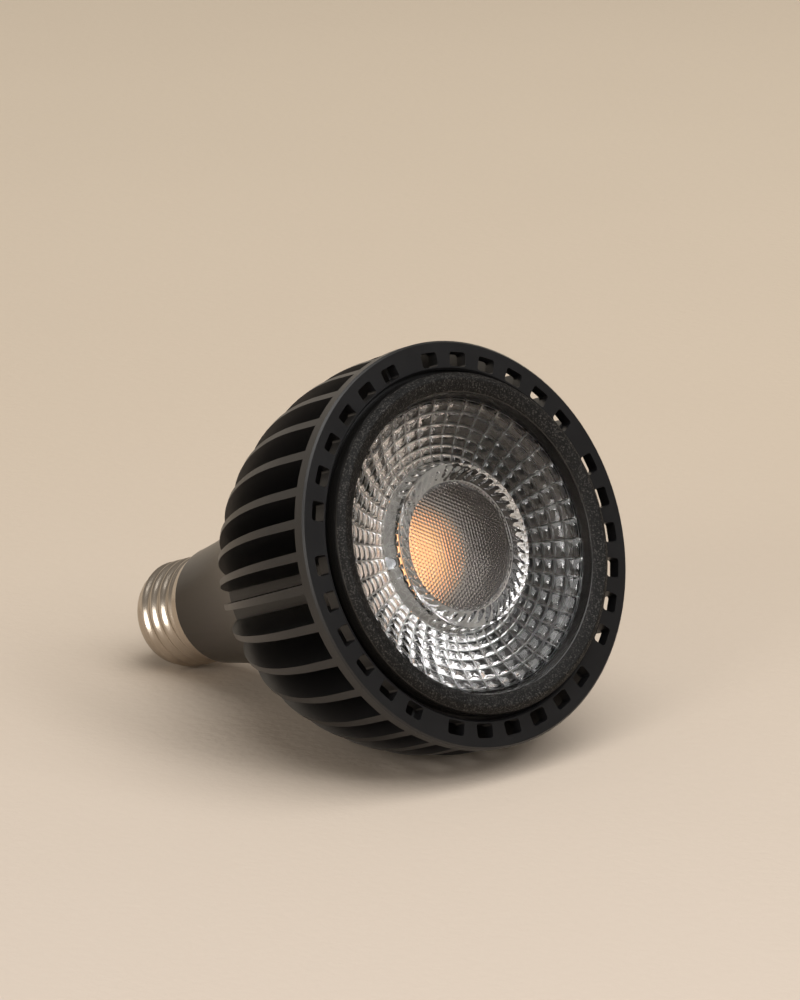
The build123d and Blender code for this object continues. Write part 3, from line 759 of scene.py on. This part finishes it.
def make_heat_sink(material):
    """The casting, with its edges softened as the spray leaves them."""
    mesh = frame["nodes"]["heat_sink"].data.copy()
    bm = bmesh.new()
    bm.from_mesh(mesh)
    bmesh.ops.remove_doubles(bm, verts=bm.verts, dist=2e-6)
    bmesh.ops.dissolve_limit(bm, angle_limit=radians(0.6), verts=bm.verts, edges=bm.edges)
    bm.to_mesh(mesh)
    bm.free()
    smooth(mesh, CASTING_CREASE)
    obj = new_object("heat_sink_casting", mesh, material)
    bevel = obj.modifiers.new("edges", "BEVEL")
    bevel.width = CASTING_BEVEL * MM
    bevel.segments = 2
    bevel.limit_method = "ANGLE"
    bevel.angle_limit = radians(BEVEL_FROM_ANGLE)
    obj.modifiers.new("flat_faces", "WEIGHTED_NORMAL").keep_sharp = True
    make_plain(obj)
    settle(obj, "heat_sink")


def make_bezel(spark, polished):
    """The ring in front of the lens: textured top between a polished wall and lip."""
    outline = rounded(BEZEL_WALL, BEZEL_ROUND) + rounded(BEZEL_TOP, BEZEL_ROUND)[1:]
    outline += rounded(BEZEL_LIP, BEZEL_LIP_ROUND)[1:] + BEZEL_BACK
    mesh = turned("bezel", outline, BEZEL_STEPS)
    obj = new_object("bezel_ring", mesh, spark)
    mesh.materials.append(polished)
    for face in mesh.polygons:
        own = UPRIGHT @ face.center
        radius = sqrt(own.x**2 + own.y**2)
        shiny = radius > POLISHED_BEYOND or radius < POLISHED_WITHIN or own.z < 0
        face.material_index = int(shiny)
    smooth(mesh, BEZEL_CREASE)
    settle(obj, "bezel")


def still(*outline):
    """Rings of the lens that no rule lifts, from (radius, z) pairs."""
    return [(radius, z, 0, 0, 0) for radius, z in outline]


def window_rings():
    """The domed window, the beads round it and the barrel's rim: (radius, z, out, up, lean)."""
    rings = []
    for k in range(WINDOW_STEPS + 1):
        share = k / WINDOW_STEPS
        rings += still((WINDOW_RADIUS * share, WINDOW_DOME * (1 - share**2) - WINDOW_DEPTH))
    rim_inner = RIM_RADIUS - RIM_WIDTH
    for k in range(1, BEAD_STEPS):
        share = k / BEAD_STEPS
        lift = BEAD_LIFT * max(0, 1 - (2 * share / BEAD_REACH - 1) ** 2)
        base = -WINDOW_DEPTH + (WINDOW_DEPTH - RIM_DEPTH) * share
        radius = WINDOW_RADIUS + (rim_inner - WINDOW_RADIUS) * share
        rings.append((radius, base - lift / 2, 0, lift, BEAD_LEAN * share))
    return rings + still((rim_inner, -RIM_DEPTH), (RIM_RADIUS - RIM_EDGE, -RIM_DEPTH))


def barrel_rings():
    """The barrel's fluted wall, from its rim down to the facets."""
    rings = []
    foot_radius = BARREL_FOOT_RADIUS - BARREL_CREASE
    for k in range(WALL_STEPS + 1):
        share = k / WALL_STEPS
        flute = FLUTE_DEPTH * sin(pi * min(1, share * FLUTE_REACH))
        radius = RIM_RADIUS + (foot_radius - RIM_RADIUS) * share
        z = -RIM_DEPTH - RIM_DROP + (RIM_DEPTH + RIM_DROP - BOWL_DEPTH) * share
        rings.append((radius - flute, z, flute, 0, 0))
    return rings


def facet_rings():
    """The rows of pillowed facets, from the barrel out to the border."""
    rings = []
    edges = facet_edges()[::-1]
    for (radius, depth), (next_radius, next_depth) in zip(edges, edges[1:]):
        rise = Vector((next_radius - radius, depth - next_depth))
        normal = Vector((-rise.y, rise.x)).normalized()
        pillow = PILLOW_SHARE * rise.length + PILLOW_LEAST
        for k in range(ROW_STEPS + 1):
            share = k / ROW_STEPS
            bulge = pillow * (1 - abs(2 * share - 1) ** FACET_FLATNESS)
            point = Vector((radius, -depth)) + rise * share
            out, up = normal.x * bulge, normal.y * bulge + FACET_SAG
            rings.append((point.x, point.y - FACET_SAG, out, up, 0))
    return rings


def back_rings():
    """The border, the rim, the curved cone behind and the cavity up to the window's back."""
    rings = still(
        (FACET_OUTER_RADIUS + BORDER_STEP, -LENS_TOP),
        (LENS_EDGE_RADIUS, -LENS_TOP),
        (LENS_EDGE_RADIUS, -LENS_EDGE_BACK),
    )
    rim = Vector((FACET_OUTER_RADIUS - CONE_INSET, -LENS_EDGE_BACK))
    foot = Vector((LENS_FOOT_RADIUS, -LENS_FOOT_DEPTH))
    outwards = Vector((1, -1)).normalized()
    for k in range(CONE_STEPS + 1):
        share = k / CONE_STEPS
        rings += still(rim.lerp(foot, share) + outwards * CONE_BULGE * 4 * share * (1 - share))
    return rings + still(
        (CAVITY_FOOT_RADIUS, -LENS_FOOT_DEPTH),
        (CAVITY_TOP_RADIUS, -WINDOW_BACK - CAVITY_BEVEL),
        (CAVITY_TOP_RADIUS - CAVITY_BEVEL, -WINDOW_BACK),
        (0, -WINDOW_BACK),
    )


def make_lens(material):
    """The clear moulding: window, beads, fluted barrel, pillowed facets and the cone behind."""
    rings = window_rings() + barrel_rings() + facet_rings() + back_rings()
    least = 1e-6
    outline = [(max(ring[0], least), ring[1]) for ring in rings]
    mesh = mesh_of("lens", ring_strip([around(LENS_STEPS, r, z) for r, z in outline]))
    for place_in_ring, label in enumerate(("out", "up", "lean"), 2):
        values = [ring[place_in_ring] for ring in rings for k in range(LENS_STEPS)]
        mesh.attributes.new(label, "FLOAT", "POINT").data.foreach_set("value", values)
    run_rule(
        "faceted_lens", column_relief(), mesh, "lens", "lens", LENS_CREASE,
        Columns=FACET_COLUMNS, Relief=1.0, Flatness=FACET_FLATNESS, Material=material,
    )


def make_screw_shell(material):
    """The rolled screw shell: collar and foot turned, the thread between them by its rule."""
    mean = (CAP_CREST_RADIUS + CAP_ROOT_RADIUS) / 2
    thread_top = -CAP_MOUTH - CAP_COLLAR
    collar = rounded([
        (CAP_COLLAR_RADIUS + CAP_LIP, -CAP_MOUTH),
        (CAP_COLLAR_RADIUS + CAP_LIP, -CAP_MOUTH - CAP_LIP_HEIGHT),
        (CAP_COLLAR_RADIUS, -CAP_MOUTH - 2 * CAP_LIP_HEIGHT),
        (CAP_COLLAR_RADIUS, thread_top + CAP_SHOULDER),
        (mean, thread_top),
    ], CAP_ROUND)
    foot = []
    for k in range(CAP_FOOT_STEPS + 1):
        bend = radians(90 * k / CAP_FOOT_STEPS)
        reach = (CAP_ROOT_RADIUS - CAP_FOOT_RADIUS) * cos(bend) ** CAP_FOOT_FULLNESS
        z = thread_top - THREAD_LENGTH - CAP_FOOT_HEIGHT * sin(bend)
        foot.append((CAP_FOOT_RADIUS + reach, z))
    bm = None
    for outline in (collar[::-1], foot):
        inner = [(r - CAP_SHEET, z) for r, z in outline]
        bm = ring_strip([around(CAP_STEPS, r, z) for r, z in outline + inner[::-1]], bm)
    run_rule(
        "threaded_shell", thread_rule(), mesh_of("screw_shell", bm),
        "cap_metal", "screw_shell", CAP_CREASE, Round=CAP_STEPS, Along=THREAD_STEPS,
        Length=THREAD_LENGTH, Start=thread_top, Material=material,
    )


INNER_FINISHES = {
    # node: dark colour, light colour, roughness
    "lens_gasket": ((44, 44, 46), (58, 58, 60), 0.6),
    "thermal_pad": ((118, 124, 132), (136, 142, 150), 0.6),
    "led_board": ((212, 210, 204), (228, 226, 221), 0.35),
    "led_holder": ((196, 194, 188), (216, 214, 208), 0.45),
    "insulating_disc": ((150, 138, 108), (172, 160, 128), 0.6),
    "driver_board": ((34, 86, 44), (50, 108, 58), 0.4),
    "transformer_core": ((44, 44, 48), (62, 62, 66), 0.5),
    "transformer_winding": ((206, 172, 56), (226, 192, 78), 0.4),
    "input_capacitor": ((22, 26, 38), (34, 40, 54), 0.25),
    "output_capacitor": ((22, 26, 38), (34, 40, 54), 0.25),
    "choke": ((48, 46, 46), (66, 64, 62), 0.45),
    "film_capacitor": ((186, 128, 40), (206, 148, 58), 0.25),
    "bridge_rectifier": ((28, 28, 28), (42, 42, 42), 0.4),
    "driver_chip": ((24, 24, 25), (38, 38, 40), 0.35),
    "fuse_resistor": ((88, 126, 104), (110, 148, 124), 0.3),
    "live_wire": ((92, 56, 32), (112, 72, 44), 0.35),
    "neutral_wire": ((28, 58, 140), (42, 76, 164), 0.35),
    "led_wires": ((150, 28, 24), (176, 42, 34), 0.35),
}


def dress(node, material):
    """Gives a node that stays as the model has it its material."""
    mesh = frame["nodes"][node].data
    mesh.materials.clear()
    mesh.materials.append(material)


def dress_inside():
    """Finishes for the pieces inside."""
    for node, (dark, light, rough) in INNER_FINISHES.items():
        dress(node, one_colour(node + "_finish", dark, light, rough))
    zinc = one_colour("zinc", (168, 170, 172), (200, 202, 204), 0.22, Metallic=1.0)
    dress("holder_screws", zinc)
    dress("housing_screws", zinc)


# Studio

def floor_finish():
    """Pale paper with a faint tooth and random mottling, and painted shading: its colour grows paler
    along one way across the floor, standing in for how the light falls on it.
    """
    material, tree, shader = finish("pale_paper", Roughness=0.9, Specular_IOR_Level=0.15)
    here = place(tree, "ShaderNodeTexCoord").outputs["Object"]
    x, y, z = spread(tree, here)
    shade_along = x * FLOOR_SHADE_WAY[0] + y * FLOOR_SHADE_WAY[1]
    broad, fine = [
        Sum(tree, place(tree, "ShaderNodeTexNoise", {"Vector": here, "Scale": scale}).outputs[0])
        for scale in (9.0, 420.0)
    ]
    # Painted shading: the colour steps from a darker near tone to a paler far one.
    front = tint(tree, shade_along.between(-0.2, 0.3), linear(197, 185, 173), linear(200, 186, 169))
    paper = tint(tree, shade_along.between(0.1, 0.8), front, linear(212, 198, 179))
    mottled = tint(tree, broad * 0.1 + fine * 0.08, paper, linear(180, 166, 148))
    plug(tree, shader.inputs["Base Color"], mottled)
    emboss(tree, shader, fine, 0.15)
    return material


def make_stage():
    """The floor, so wide that its edge is out of every view."""
    bm = bmesh.new()
    bmesh.ops.create_circle(bm, cap_ends=True, segments=FLOOR_STEPS, radius=FLOOR_RADIUS)
    new_object("floor", mesh_of("floor", bm), floor_finish())


def way_to(azimuth, elevation):
    """A direction, named as a photographer walks round the bulb: 0 in front of the lens, 90 right."""
    a, e = radians(azimuth), radians(elevation)
    return Vector((sin(a) * cos(e), -cos(a) * cos(e), sin(e)))


def softbox(name, azimuth, elevation, distance, size, power, colour):
    """A rectangular lamp that looks at the bulb."""
    lamp = bpy.data.lights.new(name, "AREA")
    lamp.shape = "RECTANGLE"
    lamp.size, lamp.size_y = size
    lamp.energy = power
    lamp.color = colour
    obj = bpy.data.objects.new(name, lamp)
    bpy.context.scene.collection.objects.link(obj)
    way = way_to(azimuth, elevation)
    obj.location = LAMP_TARGET + way * distance
    obj.rotation_euler = way.to_track_quat("Z", "Y").to_euler()


def make_world():
    """Warm light from the paper behind and beside, dim overhead and dark in the room in front."""
    world = bpy.data.worlds.new("studio")
    bpy.context.scene.world = world
    world.use_nodes = True
    tree = world.node_tree
    background = tree.nodes["Background"]
    way = place(tree, "ShaderNodeTexCoord").outputs["Generated"]
    x, y, z = spread(tree, way)
    room = place(tree, "ShaderNodeVectorMath", {"Vector": way}, operation="DOT_PRODUCT")
    room.inputs[1].default_value = way_to(ROOM_AZIMUTH, ROOM_ELEVATION)
    front = Sum(tree, room.outputs["Value"]).between(0.4, 0.85)
    paper = tint(tree, z.between(0.12, 0.7), linear(222, 209, 192), linear(140, 134, 127))
    colour = tint(tree, front, paper, linear(46, 43, 41))
    plug(tree, background.inputs["Color"], colour)
    background.inputs["Strength"].default_value = 1.1


def make_camera():
    """The camera at the photograph's viewing angle, aimed beside the flange's middle."""
    camera = bpy.data.cameras.new("camera")
    camera.sensor_fit = "VERTICAL"
    camera.sensor_height = 24.0
    camera.lens = camera.sensor_height * FOCUS_PIXELS / FRAME_PIXELS
    camera.clip_end = 100
    obj = bpy.data.objects.new("camera", camera)
    bpy.context.scene.collection.objects.link(obj)
    back = way_to(CAMERA_AZIMUTH, CAMERA_ELEVATION)
    left = back.cross(Vector((0, 0, 1)))
    left.normalize()
    up = left.cross(back)
    obj.location = face_centre + left * AIM_LEFT + up * AIM_UP + back * CAMERA_DISTANCE
    obj.rotation_euler = back.to_track_quat("Z", "Y").to_euler()
    bpy.context.scene.camera = obj


make_heat_sink(cast_black())
make_bezel(spark_black(), lip_black())
make_lens(clear_acrylic())
make_screw_shell(rolled_nickel())
dress("driver_housing", neck_black())
dress("cap_insulator", one_colour("black_glass", (14, 14, 16), (24, 24, 27), 0.12, relief=0.004))
dress("centre_contact", tinned_brass())
dress("led_phosphor", phosphor())
dress_inside()
make_stage()
make_world()
make_camera()
for lamp_facts in LAMPS:
    softbox(*lamp_facts)
bpy.context.scene.view_settings.view_transform = "Standard"
